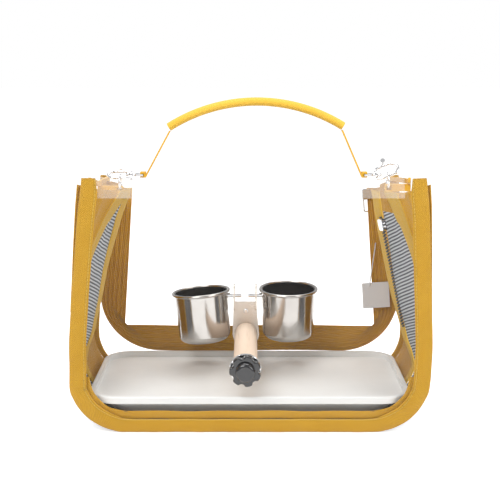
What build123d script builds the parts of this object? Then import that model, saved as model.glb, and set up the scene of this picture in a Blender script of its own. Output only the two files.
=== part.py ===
from build123d import *
from math import atan, cos, degrees, pi, radians, sin

# Bird travel carrier. Millimetres, +Z up, +Y away from the viewer. The origin is on the
# ground, under the middle of the bag, halfway between its front and back faces.

# ---- bag ----
bag_height = 250.0          # front trim, from the ground to its top edge
bag_depth = 176.0           # front face to back face
base_half = 180.0           # half width where the straight sides would meet the ground
top_half = 161.5            # half width at the top of the front trim
corner_radius = 56.0        # lower corners of the front and back outlines
trim_width = 17.0           # woven binding round the front window
trim_thick = 4.0
back_trim_width = 6.0
back_height = 232.0         # top of the back trim and of the back film
film_thick = 0.8            # clear soft film
cloth_thick = 1.4           # woven side cloth, mesh and floor
hem_height = 20.0           # doubled clear hem along the front window's top
screw_hole_gap = 0.5        # round the perch screw, in the front film

# ---- side walls, pulled in along one crease by the handle ----
crease_y = 8.0
foot_over_corner = 7.0      # the walls start this far above the outline's round corners
crease_knee_z = 80.0
crease_knee_in = 15.0       # how far the crease comes in at the knee
crease_top_in = 40.0        # and at the top of the wall
wall_top = 224.0
wall_corner_top = 242.0     # where the wall runs up to the front trim
strip_low = 97.0            # the bright strip crosses each side wall on the slant
strip_start = 122.0
strip_inner_y = -10.0
strip_outer_y = -28.0
zip_tape_width = 11.0
zip_gap = 4.0               # between mesh and tape, where the teeth run
zip_low = 84.0
zip_high = 204.0

# ---- back ----
band_width = 29.0           # ribbed webbing round the back door
band_corner = 70.0
band_inner_corner = 4.0
band_base = 33.0            # lower edge of the ribbed webbing
band_top = 218.0
band_thick = 1.4
rib_count = 6
rib_height = 0.8
rib_width = 2.2
door_gap = 1.4              # zip line between the ribbed webbing and the door
door_fold_z = 188.0         # the door folds here, below the zip's parked slider and its link
door_hinge_gap = 0.4

# ---- tray ----
tray_half_x = 160.0
tray_half_y = 81.5
tray_top = 34.0
tray_lip_height = 7.0
tray_lip = 4.0              # how far the lip stands out over the wall
tray_corner = 30.0
tray_recess = 6.0
tray_rim = 5.5
tray_wall = 2.0
tray_taper_x = 36.0         # the end walls draw in by this much on their way down
tray_taper_y = 20.0         # and the front and back walls by this much
tray_clear = 0.3            # over the floor

# ---- perch ----
perch_x = -4.0
perch_z = 63.4
perch_dia = 24.0
perch_end_y = 80.0
screw_dia = 6.0
screw_in_wood = 34.0
washer_radius = 15.5
washer_thick = 1.5
knob_radius = 15.5
knob_lobes = 7
scallop_radius = 3.3
scallop_out = 0.8           # scallop centres, outside the knob's rim
knob_length = 15.0
knob_hub = 9.0
running_gap = 0.08
seat_gap = 0.3

# ---- cups and their bracket ----
cup_y = 46.0
cup_height = 54.5
cup_radius = 29.0
cup_rim_radius = 32.3
cup_wall = 0.9
cup_corner = 7.0
cup_rim_z = 114.5
cup_x = {"left": -52.2, "right": 42.0}
cup_roll = {"left": 5.0, "right": 0.0}     # lean to the side
cup_pitch = {"left": -2.0, "right": 2.6}   # tip about the stud
plate_thick = 2.0
ear_x = {"left": -16.6, "right": 7.0}      # middle of each upright ear
ear_thick = 1.8
ear_depth = 12.0
ear_low = 90.0
ear_high = 118.0
stud_z = 106.0
stud_dia = 5.0
stud_tip = {"left": -8.5, "right": -1.5}
stud_gap = 0.05
collar_wall = 2.4
rivet_radius = 2.6

# ---- handle and its snap hooks ----
swivel_z = 242.5
swivel_x = {"left": -119.5, "right": 128.0}
hook_tilt = {"left": 0.0, "right": 20.0}   # nose of the hook above level
hook_roll = {"left": 65.0, "right": 35.0}  # gate side tipped back from upright
hook_half = 6.2             # from the hook's axis to the middle of each side bar
hook_length = 25.0
hook_wire = 1.5
boss_radius = 4.4
boss_length = 2.0
boss_bore = 1.9
gate_start = 8.6
gate_end = 16.8             # short of the nose's bend, so that its tip swings clear
gate_wire = 1.2
gate_clear = 0.3
lever_wire = 0.8
swivel_stub = 1.2
swivel_head = 2.4
head_reach = 3.7            # head's middle beyond the middle of the hook's end plate
eye_stand_off = 3.2         # eye short of the same middle
ring_offset = 11.0          # along the hook from the swivel to the ring
ring_radius = 7.6
ring_wire = 1.2
ring_drop = 4.55            # ring centre under the hook's side bar
tab_width = 6.0
tab_thick = 1.6
tab_reach = 26.0
eye_inner_x = 6.0
eye_inner_y = 9.0
eye_bar = 1.6
eye_thick = 2.0
strap_width = 8.0
strap_thick = 1.6
grip_left = (-81.0, 290.6)  # x and z where the padded grip starts
grip_right = (94.0, 291.6)
grip_crown = (6.5, 316.0)
grip_height = 8.5
grip_depth = 15.0

# ---- side straps, label and back zip pull ----
side_strap_height = 5.0
side_strap_thick = 2.6
label_size = (30.0, 29.0)
label_thick = 0.6
label_place = (141.0, 80.6, 98.0)
label_lean = 4.0
string_radius = 0.6
string_points = [(139.5, 82.6, 157.0), (138.8, 80.6, 151.5), (134.0, 79.7, 113.5), (133.5, 79.7, 108.0)]
pull_z = 211.0              # back zip's slider, on the right leg of the zip line
link_length = 20.0          # its wire link, between the middles of the end bars
link_half = 3.5
link_bend = 1.8
link_wire = 1.1

# ---- worked out from the values above ----
front_y = -bag_depth / 2
back_y = bag_depth / 2
taper = (base_half - top_half) / bag_height
foot = corner_radius + foot_over_corner
trim_back_y = front_y + trim_thick
film_back_y = trim_back_y + film_thick
back_film_front_y = back_y - trim_thick - film_thick
side_front_y = film_back_y
side_back_y = back_film_front_y
mesh_end_y = crease_y - zip_tape_width - zip_gap
grip_ends = {"left": grip_left, "right": grip_right}
SIDES = {"left": -1, "right": 1}


def save(name, shape):
    """Write one sub-part."""
    export_step(shape, f"parts/{name}.step")


def half_width(z):
    """Half width of the bag's straight side at height z."""
    return base_half - taper * z


def slab(sketch, y_low, y_high):
    """A flat piece standing in the XZ plane, from y_low back to y_high."""
    return extrude(Plane.XZ.offset(-y_high) * sketch, amount=y_high - y_low)


def u_face(inset, corner, top, low=None):
    """The bag's outline from the front, drawn in by inset, cut off level at top."""
    base = inset if low is None else low
    low_half = half_width(base) - inset
    high_half = half_width(top) - inset
    line = Polyline((-high_half, top), (-low_half, base), (low_half, base), (high_half, top),
                    close=True)
    face = make_face(line)
    return fillet(face.vertices().sort_by(Axis.Y)[:2], corner)


def u_ring(inset, width, corner, top, low=None, inner_corner=None):
    """A U-shaped band of the outline: open at the top."""
    base = inset if low is None else low
    inside = corner - width if inner_corner is None else inner_corner
    return u_face(inset, corner, top, base) - u_face(inset + width, inside, top + 1, base + width)


def box(x, y, z):
    """A block between the limits (low, high) on each axis."""
    middle = ((x[0] + x[1]) / 2, (y[0] + y[1]) / 2, (z[0] + z[1]) / 2)
    return Pos(*middle) * Box(x[1] - x[0], y[1] - y[0], z[1] - z[0])


def rod(start, end, radius):
    """A round bar from one point to another."""
    line = Edge.make_line(start, end)
    return sweep(Plane(start, z_dir=line @ 1 - line @ 0) * Circle(radius), path=line)


# ---- front: trim, window, hem ----
def front_trim():
    return slab(u_ring(0, trim_width, corner_radius, bag_height), front_y, trim_back_y)


def front_window():
    pane = u_face(film_thick, corner_radius - film_thick, bag_height)
    hole = Pos(perch_x, perch_z) * Circle(screw_dia / 2 + screw_hole_gap)
    return slab(pane - hole, trim_back_y, film_back_y)


def front_hem():
    low = bag_height - hem_height
    inset = trim_width
    half_low = half_width(low) - inset
    half_high = half_width(bag_height) - inset
    line = Polyline((-half_low, low), (half_low, low), (half_high, bag_height),
                    (-half_high, bag_height), close=True)
    return slab(make_face(line), trim_back_y - film_thick, trim_back_y)


# ---- back: trim, ribbed webbing, film outside it, zipped door ----
band_inset = back_trim_width


def back_trim():
    return slab(u_ring(0, back_trim_width, corner_radius, back_height), back_y - trim_thick, back_y)


def band_corner_at(inset):
    """The webbing's corner tightens from its outer edge to its inner one."""
    return band_corner + (band_inner_corner - band_corner) * inset / band_width


def band_ring(inset, width):
    outer, inner = band_corner_at(inset), band_corner_at(inset + width)
    return u_ring(band_inset + inset, width, outer, band_top, band_base + inset, inner)


def ribbed_band():
    flat_back = back_y - trim_thick + band_thick
    band = slab(band_ring(0, band_width), back_y - trim_thick, flat_back)
    pitch = band_width / rib_count
    for i in range(rib_count):
        inset = (i + 0.5) * pitch - rib_width / 2
        rib = band_ring(inset, rib_width)
        band += slab(rib, flat_back, flat_back + rib_height)
    return band


def back_film():
    """Clear film: outside the door's zip line, and inside it above the door's fold."""
    sheet = u_face(film_thick, corner_radius - film_thick, back_height)
    above = door_outline(door_gap) & level_band(door_fold_z, bag_height)
    return slab(sheet - (door_outline(-door_gap) - above), back_film_front_y, back_y - trim_thick)


def level_band(z_low, z_high):
    """Everything between two heights, in the XZ plane."""
    return Pos(0, (z_low + z_high) / 2) * Rectangle(2 * base_half, z_high - z_low)


def door_outline(grow_in):
    """The door's edge: the ribbed webbing's inner edge, drawn in by grow_in."""
    inset = band_inset + band_width + grow_in
    return u_face(inset, band_inner_corner, band_top, band_base + band_width + grow_in)


def back_door():
    pane = door_outline(door_gap) & level_band(0, door_fold_z - door_hinge_gap)
    return slab(pane, back_y - trim_thick, back_y - trim_thick + film_thick)


# ---- floor and side walls ----
def floor_pan():
    """Mesh floor, turned up round the lower corners to the foot of the side walls."""
    outer = u_face(0, corner_radius, foot)
    inner = u_face(cloth_thick, corner_radius - cloth_thick, foot + 1)
    return slab(outer - inner, side_front_y, side_back_y)


def crease_in(z):
    """How far the crease is drawn in at height z."""
    if z <= crease_knee_z:
        share = (z - foot) / (crease_knee_z - foot)
        return crease_knee_in * max(share, 0)
    share = (z - crease_knee_z) / (wall_top - crease_knee_z)
    return crease_knee_in + (crease_top_in - crease_knee_in) * share


def wall_x(y, z):
    """Outer face of the side wall, as a distance from the middle plane."""
    if y <= crease_y:
        share = (y - side_front_y) / (crease_y - side_front_y)
    else:
        share = (side_back_y - y) / (side_back_y - crease_y)
    return half_width(z) - crease_in(z) * share


def strip_y(z, top_y, low_z):
    """Slanted edge of the bright strip: at the front at low_z, at top_y at the wall's top."""
    share = (z - low_z) / (wall_top - low_z)
    return side_front_y + (top_y - side_front_y) * share


def wall_piece(side, levels, start, end):
    """A strip of side wall. start and end give its front and back edge at each level."""
    sections = []
    for z in levels:
        y_a, y_b = start(z), end(z)
        x_a, x_b = wall_x(y_a, z), wall_x(y_b, z)
        corners = [(x_a, y_a), (x_b, y_b), (x_b - cloth_thick, y_b), (x_a - cloth_thick, y_a)]
        wire = Wire.make_polygon([(side * x, y, z) for x, y in corners], close=True)
        sections.append(Face(wire))
    return loft(sections, ruled=True)


sliver = 0.8                # least width of a slanted piece where it runs out


def strip_front(z):
    if z < strip_start:
        return side_front_y
    return max(strip_y(z, strip_outer_y, strip_start), side_front_y + sliver)


def strip_back(z):
    return max(strip_y(z, strip_inner_y, strip_low), side_front_y + sliver)


def mesh_front(z):
    return side_front_y if z < strip_low else strip_back(z)


def side_mesh(side):
    levels = [foot, crease_knee_z, strip_low, strip_start, zip_high, wall_top]
    return wall_piece(side, levels, mesh_front, lambda z: mesh_end_y)


def side_strip(side):
    levels = [strip_low, strip_start, zip_high, wall_top]
    return wall_piece(side, levels, strip_front, strip_back)


def front_gusset(side):
    """Loose cloth between the front trim and the bright strip, running up to the corner."""
    def back_edge(z):
        if z > wall_top:
            share = (wall_corner_top - z) / (wall_corner_top - wall_top)
            return side_front_y + 12 + (strip_outer_y - side_front_y - 12) * share
        return strip_front(z)
    levels = [strip_start, zip_high, wall_top, wall_corner_top]
    return wall_piece(side, levels, lambda z: side_front_y, back_edge)


def zip_tape(side):
    """Doubled cloth along the crease, cut back on the right beside the zip's teeth."""
    def front(z):
        zipped = side == SIDES["right"] and zip_low <= z <= zip_high
        return mesh_end_y + zip_gap if zipped else mesh_end_y
    levels = [foot, zip_low - zip_gap, zip_low, strip_low, strip_start, zip_high,
              zip_high + zip_gap, wall_top]
    return wall_piece(side, levels, front, lambda z: crease_y)


def rear_gusset(side):
    levels = [foot, crease_knee_z, strip_low, strip_start, zip_high, wall_top]
    return wall_piece(side, levels, lambda z: crease_y, lambda z: side_back_y)


# ---- side zip: two rows of teeth and a slider on the line between mesh and tape ----
tooth_pitch = 3.2
tooth_height = 1.5
tooth_depth = 2.6
tooth_slit = 1.2            # between the two rows, where the slider's neck runs
tooth_ease = 0.15           # beside the cloth
zip_line_y = mesh_end_y + zip_gap / 2


def zip_plane(z):
    """Plane on the zip line at height z: x out of the wall, y along it, z up the line."""
    origin = Vector(wall_x(zip_line_y, z) - cloth_thick / 2, zip_line_y, z)
    above = Vector(wall_x(zip_line_y, z + 1) - cloth_thick / 2, zip_line_y, z + 1)
    ahead = Vector(wall_x(zip_line_y + 1, z) - cloth_thick / 2, zip_line_y + 1, z)
    up = (above - origin).normalized()
    out = (ahead - origin).cross(up)
    return Plane(origin, x_dir=out, z_dir=up)


def zip_teeth():
    """Both rows, each tooth seated against the cloth's edge beside it."""
    reach = (zip_gap - tooth_slit) / 2 - tooth_ease
    rows = []
    count = int((zip_high - zip_low) / tooth_pitch) - 1
    for i in range(count):
        z = zip_low + (i + 0.5) * tooth_pitch
        for edge in (-1, 1):
            middle = edge * (tooth_slit / 2 + reach / 2)
            lift = tooth_pitch / 2 if edge > 0 else 0
            tooth = Pos(0, middle, lift) * Box(tooth_depth, reach, tooth_height)
            rows.append(zip_plane(z) * tooth)
    return Compound(rows)


slider_gap = 0.4
slider_plate = 1.0
slider_size = (9.0, 12.0)   # across and along the zip
slider_z = 192.0


def zip_slider():
    """Two plates, one each side of the teeth, joined by a thin neck in the slit."""
    wide, tall = slider_size
    stand = tooth_depth / 2 + slider_gap + slider_plate / 2
    plates = Pos(stand, 0, 0) * Box(slider_plate, wide, tall)
    plates += Pos(-stand, 0, 0) * Box(slider_plate, wide, tall)
    plates = fillet(plates.edges().filter_by(Axis.X), 2.5)
    plates += Box(2 * stand, tooth_slit / 2, tall / 2)
    bridge = Pos(stand + 1.4, 0, 0) * Box(2.0, 2.4, 7.0)
    bridge -= Pos(stand + 1.2, 0, 0) * Box(1.6, 4, 4.0)
    return zip_plane(slider_z) * (plates + bridge)


# ---- clear top cover: sags from both edges down to the line of the handle ----
cover_half = 98.0
cover_sag_z = 228.0
cover_flat = 30.0           # level stretch across the middle
cover_edge_gap = 0.0


def top_cover():
    """One sheet between the front hem and the back film."""
    points = [(film_back_y, bag_height - 1), (-cover_flat, cover_sag_z), (cover_flat, cover_sag_z),
              (back_film_front_y, back_height - 1)]
    below = [(y, z - film_thick) for y, z in reversed(points)]
    profile = make_face(Polyline(*points, *below, close=True))
    return extrude(Plane.YZ * profile, amount=cover_half, both=True)


# ---- side straps along the top, and the webbing tabs that hold the rings ----
def spine_point(name):
    """The hook's lower side bar, level with the ring."""
    frame = hook_plane(name)
    return frame.from_local_coords(Vector(ring_offset, -hook_half, 0))


def hook_plane(name):
    """Hook frame: x along the hook from the swivel, y towards the gate."""
    side = SIDES[name]
    tilt = radians(hook_tilt[name])
    roll = radians(hook_roll[name])
    along = Vector(side * cos(tilt), 0, sin(tilt))
    upright = Vector(-side * sin(tilt), 0, cos(tilt))
    gate = upright * cos(roll) + Vector(0, 1, 0) * sin(roll)
    return Plane((swivel_x[name], 0, swivel_z), x_dir=along, z_dir=along.cross(gate))


def ring_centre(name):
    spine = spine_point(name)
    return Vector(spine.X, spine.Y, spine.Z - ring_drop)


def ring(name):
    centre = ring_centre(name)
    return Plane(centre, z_dir=(1, 0, 0)) * Torus(ring_radius, ring_wire)


def tab_span(name):
    """Inner and outer end, and lower and upper face, of the tab's webbing loop."""
    centre = ring_centre(name)
    side = SIDES[name]
    low = centre.Z - ring_radius - ring_wire - seat_gap - tab_thick
    high = centre.Z - ring_radius + 2 * ring_wire + tab_thick
    inner = side * centre.X - ring_wire - seat_gap - tab_thick
    return inner, inner + tab_reach, low, high


def ring_tab(name):
    """Flat webbing loop round the foot of the ring, its outer half stitched shut."""
    side = SIDES[name]
    inner, outer, low, high = tab_span(name)
    y = (ring_centre(name).Y - tab_width / 2, ring_centre(name).Y + tab_width / 2)
    loop = box((inner, outer), y, (low, high))
    loop = fillet(loop.edges().filter_by(Axis.Y).group_by(Axis.X)[0], 2.5)
    pocket = 2 * ring_wire + 3 * seat_gap + 1.5
    hollow = box((inner + tab_thick, inner + tab_thick + pocket), (y[0] - 1, y[1] + 1),
                 (low + tab_thick, high - tab_thick))
    loop -= hollow
    return loop if side > 0 else mirror(loop, about=Plane.YZ)


def side_strap(name):
    """Webbing from the front corner down over the tab and up to the back corner."""
    side = SIDES[name]
    _, outer, _, high = tab_span(name)
    y_front = ring_centre(name).Y - tab_width / 2 - 1
    y_back = ring_centre(name).Y + tab_width / 2 + 1
    middle_x = outer - 3
    stations = [(film_back_y, half_width(bag_height) - 13, bag_height - side_strap_height - 0.5),
                (y_front, middle_x, high), (y_back, middle_x, high),
                (back_film_front_y, half_width(back_height) - 10, back_height - side_strap_height - 1)]
    sections = []
    for y, x, z in stations:
        far, high = x + side_strap_thick, z + side_strap_height
        corners = [(x, y, z), (far, y, z), (far, y, high), (x, y, high)]
        wire = Wire.make_polygon([(side * a, b, c) for a, b, c in corners], close=True)
        sections.append(Face(wire))
    return loft(sections, ruled=True)


# ---- snap hooks ----
def hook_body(name):
    """Open oval of wire with a bored end plate for the swivel. The gate closes its gap."""
    nose = hook_length - hook_wire - hook_half
    shoulder = (5.0, hook_half)
    neck = (0, boss_radius)
    spine = Polyline((neck[0], -neck[1]), (shoulder[0], -shoulder[1]), (nose, -hook_half))
    bow = ThreePointArc((nose, -hook_half), (nose + hook_half, 0), (nose, hook_half))
    tip = Line((nose, hook_half), (gate_end + gate_clear, hook_half))
    back_end = gate_start - gate_wire - gate_clear
    back = Polyline((back_end, hook_half), (shoulder[0], hook_half), neck)
    lower = sweep(Plane((neck[0], -neck[1], 0), z_dir=spine % 0) * Circle(hook_wire), path=spine,
                  transition=Transition.ROUND)
    nose_bar = sweep(Plane((nose, -hook_half, 0), z_dir=(1, 0, 0)) * Circle(hook_wire), path=bow + tip)
    upper = sweep(Plane(back @ 0, z_dir=back % 0) * Circle(hook_wire), path=back,
                  transition=Transition.ROUND)
    plate = Plane.YZ * Cylinder(boss_radius + hook_wire, boss_length)
    body = lower + nose_bar + upper + plate
    body -= Plane.YZ * Cylinder(boss_bore, 6 * boss_length)
    return hook_plane(name) * body


def hook_gate(name):
    """Sprung gate with its thumb lever, hinged at the swivel end of the gap."""
    bar = rod((gate_start, hook_half, 0), (gate_end, hook_half, 0), gate_wire)
    bar += Pos(gate_start, hook_half, 0) * Cylinder(gate_wire, 2 * gate_wire)
    lever = rod((gate_start + 1.4, hook_half, 0), (gate_start + 3.0, hook_half + 5.5, 0), lever_wire)
    thumb = Pos(gate_start + 3.2, hook_half + 5.8, 0) * Cylinder(2.4, 2.2)
    return hook_plane(name) * (bar + lever + thumb)


def swivel_eye(name):
    """Rectangular eye with a headed stub that turns in the hook's end plate."""
    side = SIDES[name]
    start = swivel_x[name] - side * eye_stand_off
    length = eye_inner_x + 2 * eye_bar
    outer = Rectangle(length, eye_inner_y + 2 * eye_bar)
    outer = fillet(outer.vertices(), eye_bar)
    frame = extrude(outer - Rectangle(eye_inner_x, eye_inner_y), amount=eye_thick / 2, both=True)
    eye = Pos(start - side * length / 2, 0, swivel_z) * frame
    head_x = swivel_x[name] + side * head_reach
    eye += rod((start - side * 0.4, 0, swivel_z), (head_x, 0, swivel_z), swivel_stub)
    eye += Pos(head_x, 0, swivel_z) * Sphere(swivel_head)
    return eye


# ---- handle ----
def eye_bar_x(name):
    """Middle of the eye's inner bar, which carries the strap."""
    side = SIDES[name]
    return swivel_x[name] - side * (eye_stand_off + eye_inner_x + 1.5 * eye_bar)


def handle_strap(name):
    """Webbing: looped round the eye's inner bar, then up to the end of the grip."""
    side = SIDES[name]
    bar_x = eye_bar_x(name)
    inside = (eye_bar / 2 + seat_gap, eye_thick / 2 + seat_gap)
    half = (inside[0] + strap_thick, inside[1] + strap_thick)
    loop = Rectangle(2 * half[0], 2 * half[1]) - Rectangle(2 * inside[0], 2 * inside[1])
    band = slab(Pos(bar_x, swivel_z) * loop, -strap_width / 2, strap_width / 2)
    grip_x, grip_z = grip_ends[name]
    foot_x = bar_x - side * (half[0] - strap_thick)
    foot_z = swivel_z - half[1]
    run = Polyline((foot_x, foot_z), (foot_x - side * strap_thick, foot_z),
                   (grip_x - side * strap_thick, grip_z - 4), (grip_x, grip_z - 4), close=True)
    return band + slab(make_face(run), -strap_width / 2, strap_width / 2)


def grip():
    """Padded cloth grip bowed between the two straps."""
    arc = ThreePointArc((grip_left[0], 0, grip_left[1]), (grip_crown[0], 0, grip_crown[1]),
                        (grip_right[0], 0, grip_right[1]))
    section = Plane(arc @ 0, x_dir=(0, 1, 0), z_dir=arc % 0) * Ellipse(grip_depth / 2, grip_height / 2)
    return sweep(section, path=arc)


# ---- tray ----
def rounded(half_x, half_y, corner, z):
    return Plane.XY.offset(z) * RectangleRounded(2 * half_x, 2 * half_y, corner)


def tray():
    """Moulded tray: a lip, a wall that draws in to its foot, shallow above, hollow below."""
    base = cloth_thick + tray_clear
    under_lip = tray_top - tray_lip_height
    body_x, body_y = tray_half_x - tray_lip, tray_half_y - tray_lip
    foot_x, foot_y = body_x - tray_taper_x, body_y - tray_taper_y
    shape = loft([rounded(foot_x, foot_y, tray_corner - 12, base),
                  rounded(body_x, body_y, tray_corner - tray_lip, under_lip)], ruled=True)
    shape += extrude(rounded(tray_half_x, tray_half_y, tray_corner, under_lip), amount=tray_lip_height)
    shape = fillet(shape.faces().sort_by(Axis.Z)[-1].edges(), 2.0)
    floor = tray_top - tray_recess
    shape -= extrude(rounded(tray_half_x - tray_rim, tray_half_y - tray_rim, tray_corner - tray_rim,
                             floor), amount=2 * tray_recess)
    hollow_top = floor - tray_wall
    slim = tray_wall + 1
    shape -= loft([rounded(foot_x - tray_wall, foot_y - tray_wall, tray_corner - 14, base - 1),
                   rounded(body_x - 2 * slim, body_y - 2 * slim, tray_corner - 10, hollow_top)], ruled=True)
    return shape


# ---- perch ----
def along_y(radius, y_low, y_high, x=perch_x, z=perch_z):
    """A cylinder lying along Y."""
    return slab(Pos(x, z) * Circle(radius), y_low, y_high)


def perch():
    dowel = along_y(perch_dia / 2, film_back_y, perch_end_y)
    dowel = chamfer(dowel.edges().sort_by(Axis.Y)[-1], 1.0)
    return dowel - along_y(screw_dia / 2, film_back_y - 1, film_back_y + screw_in_wood)


washer_front_y = trim_back_y - washer_thick
knob_front_y = washer_front_y - knob_length


def perch_screw():
    return along_y(screw_dia / 2, knob_front_y + 5, film_back_y + screw_in_wood)


def perch_washer():
    ring_face = Circle(washer_radius) - Circle(screw_dia / 2 + running_gap)
    washer = slab(Pos(perch_x, perch_z) * ring_face, washer_front_y, trim_back_y)
    return chamfer(washer.edges().group_by(Axis.Y)[0].sort_by(SortBy.LENGTH)[-1], 0.6)


def star_knob():
    """Domed knob with round lobes, blind bored for the screw."""
    back = washer_front_y - running_gap
    star = Circle(knob_radius)
    for i in range(knob_lobes):
        angle = 2 * pi * i / knob_lobes
        reach = knob_radius + scallop_out
        star -= Pos(reach * cos(angle), reach * sin(angle)) * Circle(scallop_radius)
    star = fillet(star.vertices().filter_by(lambda v: v.center().length > knob_radius - 1), 2.0)
    rim = slab(Pos(perch_x, perch_z) * star, back - 8.5, back - 2.5)
    rim = fillet(rim.edges().group_by(Axis.Y)[0], 1.5)
    hub = along_y(knob_hub, back - 3, back)
    dome = along_y(knob_radius * 0.62, knob_front_y, back - 8)
    dome = fillet(dome.edges().group_by(Axis.Y)[0], 3.5)
    return rim + hub + dome - along_y(screw_dia / 2 + running_gap, knob_front_y + 4, back + 1)


# ---- cup bracket ----
def cup_bracket():
    """Plate collared round the dowel, with a neck and two upright ears for the cup studs."""
    y = (cup_y - plate_thick / 2, cup_y + plate_thick / 2)
    reach = perch_dia / 2 + collar_wall
    left = ear_x["left"] - ear_thick / 2
    right = ear_x["right"] + ear_thick / 2
    neck = make_face(Polyline((perch_x - reach, perch_z), (perch_x + reach, perch_z), (right, ear_low),
                              (right, ear_low + 9), (left, ear_low + 9), (left, ear_low), close=True))
    outline = Pos(perch_x, perch_z) * Circle(reach) + neck
    plate = slab(outline, *y) - along_y(perch_dia / 2 + running_gap, y[0] - 1, y[1] + 1)
    for name in SIDES:
        x = (ear_x[name] - ear_thick / 2, ear_x[name] + ear_thick / 2)
        ear = box(x, (cup_y - ear_depth / 2, cup_y + ear_depth / 2), (ear_low, ear_high))
        ear = fillet(ear.edges().filter_by(Axis.X), 3.0)
        plate += ear - stud_cylinder(name, stud_dia / 2 + stud_gap, -60, 60)
    hole = along_y(rivet_radius / 2, y[0] - 1, y[1] + 1, z=ear_low - 1)
    return plate - hole


def stud_cylinder(name, radius, x_low, x_high):
    return Pos((x_low + x_high) / 2, cup_y, stud_z) * (Plane.YZ * Cylinder(radius, x_high - x_low))


def bracket_rivet():
    """Pan-headed screw through the neck, biting behind the plate."""
    front = cup_y - plate_thick / 2
    z = ear_low - 1
    head = along_y(rivet_radius, front - 1.6, front, z=z)
    head = fillet(head.edges().group_by(Axis.Y)[0], 1.0)
    return head + along_y(rivet_radius / 2, front, front + plate_thick + 2.5, z=z)


# ---- cups ----
def cup_place(name):
    """Cup frame: its foot's middle, leaned and tipped about the stud."""
    rim_low = cup_rim_z - cup_height
    stand = Pos(cup_x[name], cup_y, rim_low)
    tip = Pos(0, cup_y, stud_z) * Rot(cup_pitch[name], 0, 0) * Pos(0, -cup_y, -stud_z)
    lean = Pos(ear_x[name], 0, stud_z) * Rot(0, -cup_roll[name], 0) * Pos(-ear_x[name], 0, -stud_z)
    return tip * lean * stand


def cup(name):
    """Drawn steel cup: rounded foot, straight wall, rim rolled outwards."""
    foot_radius = cup_radius - 1.2
    curl = (cup_rim_radius - cup_radius) / 2
    outer = [Line((0, 0), (foot_radius - cup_corner, 0)),
             RadiusArc((foot_radius - cup_corner, 0), (foot_radius, cup_corner), -cup_corner),
             Line((foot_radius, cup_corner), (cup_radius, cup_height - 2 * curl)),
             Line((cup_radius, cup_height - 2 * curl), (cup_radius, cup_height - curl))]
    inner_foot = foot_radius - cup_wall
    bend = cup_corner - cup_wall
    inner = [Line((cup_radius, cup_height - curl), (cup_radius - cup_wall, cup_height - curl)),
             Line((cup_radius - cup_wall, cup_height - curl), (inner_foot, cup_corner)),
             RadiusArc((inner_foot, cup_corner), (inner_foot - bend, cup_wall), bend),
             Line((inner_foot - bend, cup_wall), (0, cup_wall)), Line((0, cup_wall), (0, 0))]
    profile = make_face(Curve() + outer + inner)
    shell = revolve(Plane.XZ * profile, Axis.Z)
    rim_middle = cup_radius + curl - cup_wall / 2
    rim = Pos(0, 0, cup_height - curl) * Torus(rim_middle, curl)
    return cup_place(name) * (shell + rim)


def cup_stud(name):
    """Threaded stud on the cup's wall, square to the ear it passes through."""
    wall = cup_x[name] + (cup_radius - cup_wall / 2) * (1 if name == "left" else -1)
    low, high = sorted((wall, stud_tip[name]))
    return stud_cylinder(name, stud_dia / 2, low, high) - cup(name)


# ---- label, its string, and the back zip's slider and ring ----
def care_label():
    wide, tall = label_size
    return Pos(*label_place) * Rot(0, -label_lean, 0) * Box(wide, label_thick, tall)


def label_string():
    """Nylon string sewn in beside the ribbed webbing, its foot against the label's face."""
    line = Polyline(*string_points)
    return sweep(Plane(line @ 0, z_dir=line % 0) * Circle(string_radius), path=line,
                 transition=Transition.ROUND)


pull_size = (9.0, 11.0)     # across and along the zip line
pull_plate = 1.0
pull_neck = 0.7
lug_reach = 3.6
lug_bore = 1.5
lug_width = 3.0
door_line = band_inset + band_width + door_gap / 2
pull_outer_y = back_y - trim_thick + band_thick + rib_height + slider_gap
pull_pin_y = pull_outer_y + pull_plate + lug_reach / 2


def pull_place():
    """Place on the right leg of the door's zip line, leaning with it."""
    return Pos(half_width(pull_z) - door_line, 0, pull_z) * Rot(0, -degrees(atan(taper)), 0)


def pull_slider():
    """Back zip's slider, astride the gap between webbing and door."""
    wide, tall = pull_size
    y_front = back_film_front_y - slider_gap - pull_plate
    body = box((-wide / 2, wide / 2), (y_front, y_front + pull_plate), (-tall / 2, tall / 2))
    body += box((-wide / 2, wide / 2), (pull_outer_y, pull_outer_y + pull_plate), (-tall / 2, tall / 2))
    body = fillet(body.edges().filter_by(Axis.Y), 2.0)
    body += box((-pull_neck / 2, pull_neck / 2), (y_front, pull_outer_y), (-tall / 4, tall / 4))
    lug_y = (pull_outer_y + pull_plate, pull_outer_y + pull_plate + lug_reach)
    lug = box((-lug_width / 2, lug_width / 2), lug_y, (-3.0, 3.0))
    lug -= Pos(0, pull_pin_y, 0) * (Plane.YZ * Cylinder(lug_bore, 6))
    return pull_place() * (body + lug)


def pull_ring():
    """Long wire link hanging from the slider's lug, flat against the back."""
    top, low = 0.0, -link_length
    half, bend = link_half, link_bend
    outline = RectangleRounded(2 * half, top - low, bend)
    path = (Plane.XZ * Pos(0, (top + low) / 2) * outline).wire()
    section = Plane(path @ 0, z_dir=path % 0) * Circle(link_wire)
    return pull_place() * Pos(0, pull_pin_y, 0) * sweep(section, path=path)


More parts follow.
